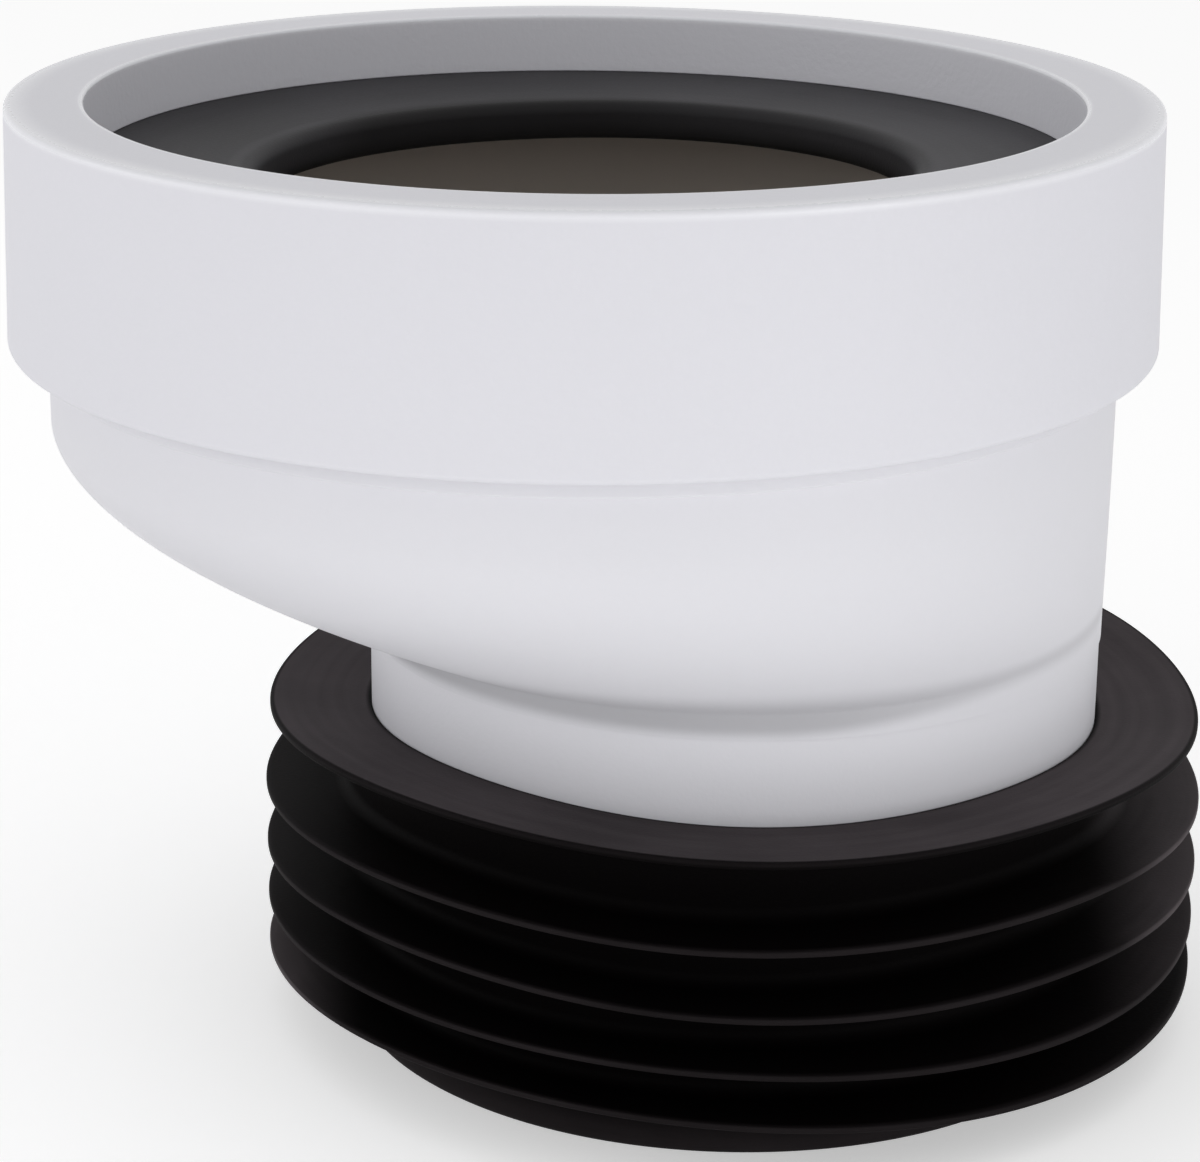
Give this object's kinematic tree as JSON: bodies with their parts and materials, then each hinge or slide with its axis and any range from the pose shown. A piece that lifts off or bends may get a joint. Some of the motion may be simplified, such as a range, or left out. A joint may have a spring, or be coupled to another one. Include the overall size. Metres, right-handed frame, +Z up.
{
  "type": "toilet pan connector",
  "caption": "Short offset toilet pan connector: white capped socket with a rubber inlet seal, an eccentric bowl, and a spigot in a black finned sleeve that pushes into a soil pipe.",
  "frame": {"origin": "on the outlet's axis, at the top edge of the uppermost sealing fin", "axes": "+Z up along both axes, from the outlet to the inlet; +X from the inlet's axis towards the outlet's axis; XZ is the plane of symmetry"},
  "size_m": [0.1485, 0.14, 0.1169],
  "materials": {
    "white_polypropylene_body": "smooth moulded white, soft sheen",
    "white_polypropylene_cap": "finely grained white, soft sheen",
    "black_rubber_inlet": "matt black rubber, dusty",
    "black_rubber_outlet": "matt black rubber"
  },
  "bodies": {
    "root": {"connector_body": "white_polypropylene_body", "socket_cap": "white_polypropylene_cap", "inlet_seal": "black_rubber_inlet", "outlet_seal": "black_rubber_outlet"}
  },
  "joints": []
}
